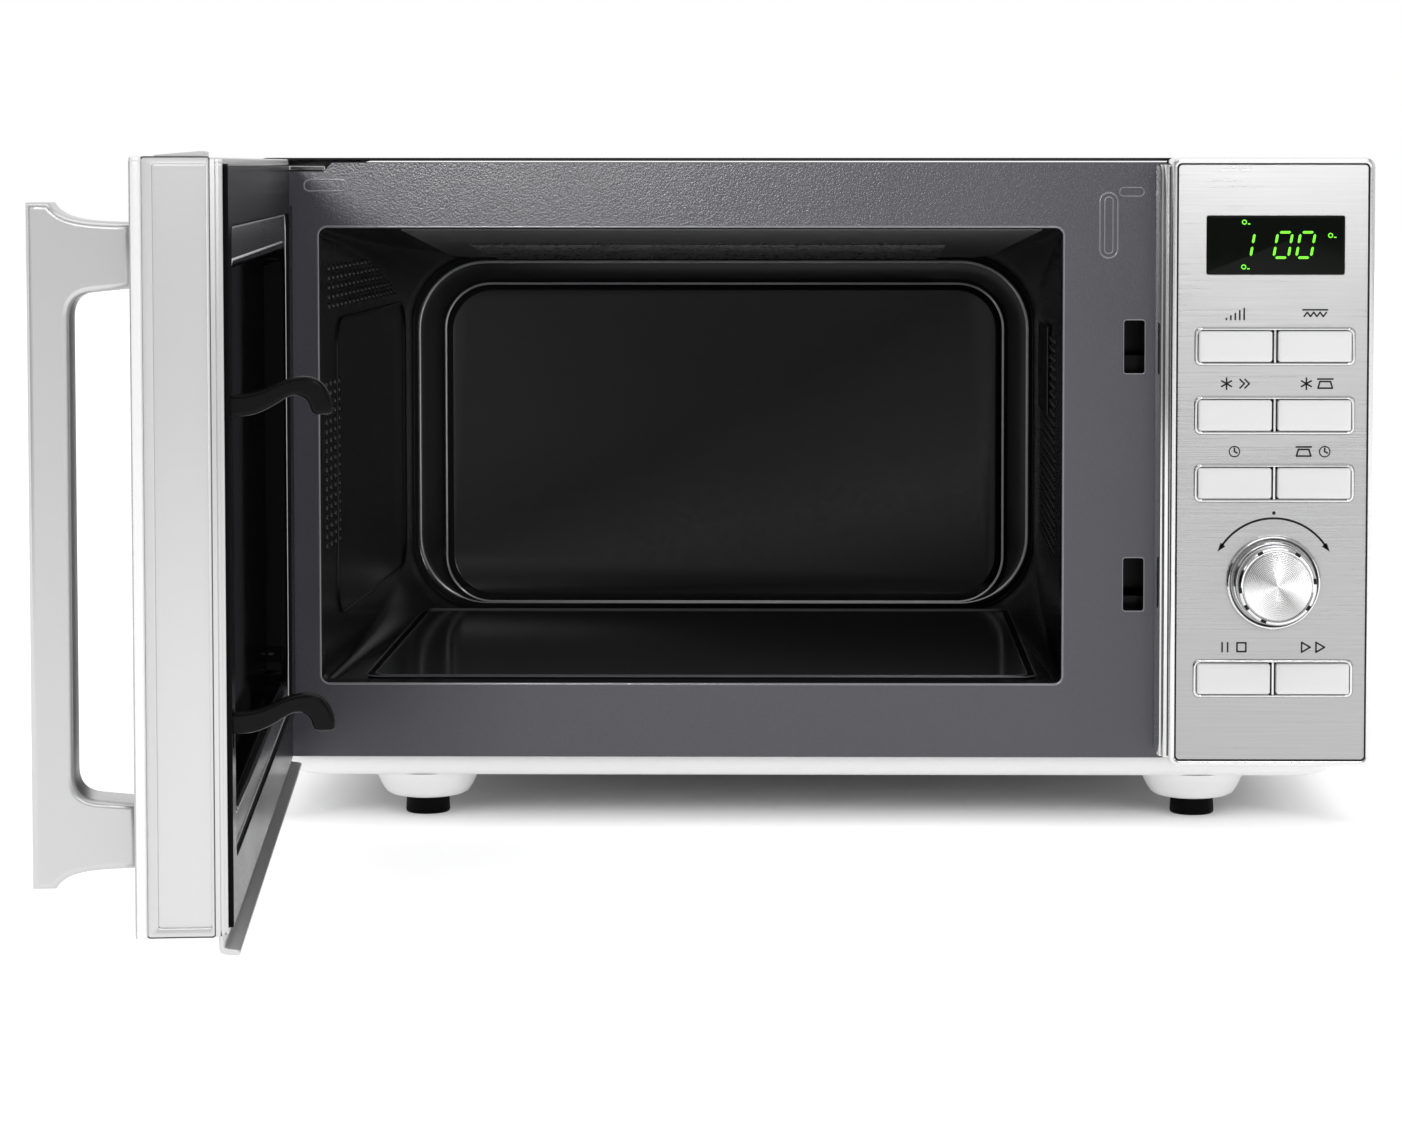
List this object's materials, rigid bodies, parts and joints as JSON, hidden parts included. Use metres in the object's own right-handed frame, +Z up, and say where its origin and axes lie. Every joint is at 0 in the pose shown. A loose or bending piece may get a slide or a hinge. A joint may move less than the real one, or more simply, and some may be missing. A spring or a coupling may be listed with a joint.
{
  "type": "microwave oven",
  "caption": "Flatbed microwave oven with grill: left-hinged door standing open, bow handle, latch hooks, dark cavity with glass floor plate, brushed control panel with knob.",
  "frame": {"origin": "centre of the whole footprint with the door open at its rest angle, on the worktop under the feet", "axes": "+X to the right of someone facing the oven, +Y from the front to the back, +Z up"},
  "size_m": [0.5306, 0.8108, 0.3128],
  "materials": {
    "case_black": "semi-gloss black powder paint, fine texture",
    "galvanised": "zinc-coated sheet, dull with faint spangle",
    "pan_grey": "light grey paint, satin",
    "foot_rubber": "moulded rubber, matte",
    "plate_enamel": "dark grey semi-gloss paint with orange peel",
    "cavity_enamel": "dark grey enamel, glossy",
    "glass_ceramic": "black glass-ceramic, glossy",
    "heater_sheath": "oxidised steel sheath, satin",
    "mica": "pressed mica board, matte",
    "steel_parts": "plain steel, satin",
    "magnetron_metal": "pressed aluminium and plated steel, satin",
    "transformer_core": "varnished laminations, dull",
    "white_plastic": "moulded white plastic",
    "black_plastic": "moulded black plastic, semi-gloss",
    "silver_moulding": "silver-painted moulding, satin",
    "handle_silver": "dark silver-painted moulding, satin",
    "brushed_panel": "stainless steel brushed along its width",
    "display_black": "black display lens with green figures, glossy",
    "circuit_board": "green circuit board",
    "chrome_trim": "bright chrome, mirror-like",
    "door_glass": "black-printed door glass, glossy",
    "button_silver": "light silver-painted button, satin"
  },
  "bodies": {
    "cabinet": {"outer_case": "case_black", "rear_panel": "galvanised", "rear_screw_left": "steel_parts", "rear_screw_right": "steel_parts", "cord_inlet": "black_plastic", "base_pan": "pan_grey", "foot_front_left": "foot_rubber", "foot_front_right": "foot_rubber", "foot_rear_left": "foot_rubber", "foot_rear_right": "foot_rubber", "front_plate": "plate_enamel", "cavity_collar": "cavity_enamel", "oven_cavity": "cavity_enamel", "cavity_floor": "cavity_enamel", "cavity_back": "cavity_enamel", "ceramic_plate": "glass_ceramic", "grill_guard": "cavity_enamel", "grill_heater": "heater_sheath", "mica_cover": "mica", "waveguide": "galvanised", "antenna_motor": "steel_parts", "magnetron": "magnetron_metal", "transformer": "transformer_core", "capacitor": "magnetron_metal", "oven_lamp": "white_plastic", "fan_shroud": "white_plastic", "fan_motor": "magnetron_metal", "latch_receiver": "black_plastic", "door_switch_upper": "white_plastic", "door_switch_lower": "white_plastic", "control_frame": "silver_moulding", "control_fascia": "brushed_panel", "display_window": "display_black", "display_module": "display_black", "control_board": "circuit_board", "rotary_encoder": "steel_parts", "knob_bezel": "chrome_trim", "upper_hinge": "steel_parts", "lower_hinge": "steel_parts"},
    "door": {"door_frame": "silver_moulding", "door_skin": "brushed_panel", "door_glass": "door_glass", "door_screen": "cavity_enamel", "inner_window": "door_glass", "choke_cover": "black_plastic", "handle": "handle_silver", "latch_spring": "steel_parts"},
    "latch": {"latch_bar": "black_plastic"},
    "control_knob": {"knob": "chrome_trim", "knob_shaft": "steel_parts"},
    "cooling_fan": {"fan_blade": "black_plastic"},
    "stirrer": {"stirrer_antenna": "magnetron_metal"},
    "button_power_level": {"button_power_level": "button_silver"},
    "button_grill": {"button_grill": "button_silver"},
    "button_speed_defrost": {"button_speed_defrost": "button_silver"},
    "button_auto_defrost": {"button_auto_defrost": "button_silver"},
    "button_preset": {"button_preset": "button_silver"},
    "button_weight_clock": {"button_weight_clock": "button_silver"},
    "button_stop": {"button_stop": "button_silver"},
    "button_start": {"button_start": "button_silver"}
  },
  "joints": [
    {"name": "door_hinge", "type": "hinge", "parent": "cabinet", "child": "door", "pos_m": [-0.23671, 0.00388, 0.173], "axis": [0, 0, -1], "range_deg": [-85, 15]},
    {"name": "latch_slide", "type": "slide", "parent": "door", "child": "latch", "axis": [0, 0, 1], "range_m": [-0.0035, 0], "stiffness_N_per_m": 250, "springref_m": 0.003, "deforming": ["latch_spring"]},
    {"name": "knob_turn", "type": "hinge", "parent": "cabinet", "child": "control_knob", "pos_m": [0.22054, -0.029, 0.11886], "axis": [0, 1, 0], "continuous": true},
    {"name": "fan_spin", "type": "hinge", "parent": "cabinet", "child": "cooling_fan", "pos_m": [0.18829, 0.368, 0.2367], "axis": [0, 1, 0], "continuous": true},
    {"name": "stirrer_spin", "type": "hinge", "parent": "cabinet", "child": "stirrer", "pos_m": [-0.04096, 0.16788, 0.05], "axis": [0, 0, 1], "continuous": true},
    {"name": "button_power_level_press", "type": "slide", "parent": "cabinet", "child": "button_power_level", "axis": [0, 1, 0], "range_m": [0, 0.0012], "stiffness_N_per_m": 500, "springref_m": -0.001},
    {"name": "button_grill_press", "type": "slide", "parent": "cabinet", "child": "button_grill", "axis": [0, 1, 0], "range_m": [0, 0.0012], "stiffness_N_per_m": 500, "springref_m": -0.001},
    {"name": "button_speed_defrost_press", "type": "slide", "parent": "cabinet", "child": "button_speed_defrost", "axis": [0, 1, 0], "range_m": [0, 0.0012], "stiffness_N_per_m": 500, "springref_m": -0.001},
    {"name": "button_auto_defrost_press", "type": "slide", "parent": "cabinet", "child": "button_auto_defrost", "axis": [0, 1, 0], "range_m": [0, 0.0012], "stiffness_N_per_m": 500, "springref_m": -0.001},
    {"name": "button_preset_press", "type": "slide", "parent": "cabinet", "child": "button_preset", "axis": [0, 1, 0], "range_m": [0, 0.0012], "stiffness_N_per_m": 500, "springref_m": -0.001},
    {"name": "button_weight_clock_press", "type": "slide", "parent": "cabinet", "child": "button_weight_clock", "axis": [0, 1, 0], "range_m": [0, 0.0012], "stiffness_N_per_m": 500, "springref_m": -0.001},
    {"name": "button_stop_press", "type": "slide", "parent": "cabinet", "child": "button_stop", "axis": [0, 1, 0], "range_m": [0, 0.0012], "stiffness_N_per_m": 500, "springref_m": -0.001},
    {"name": "button_start_press", "type": "slide", "parent": "cabinet", "child": "button_start", "axis": [0, 1, 0], "range_m": [0, 0.0012], "stiffness_N_per_m": 500, "springref_m": -0.001}
  ]
}
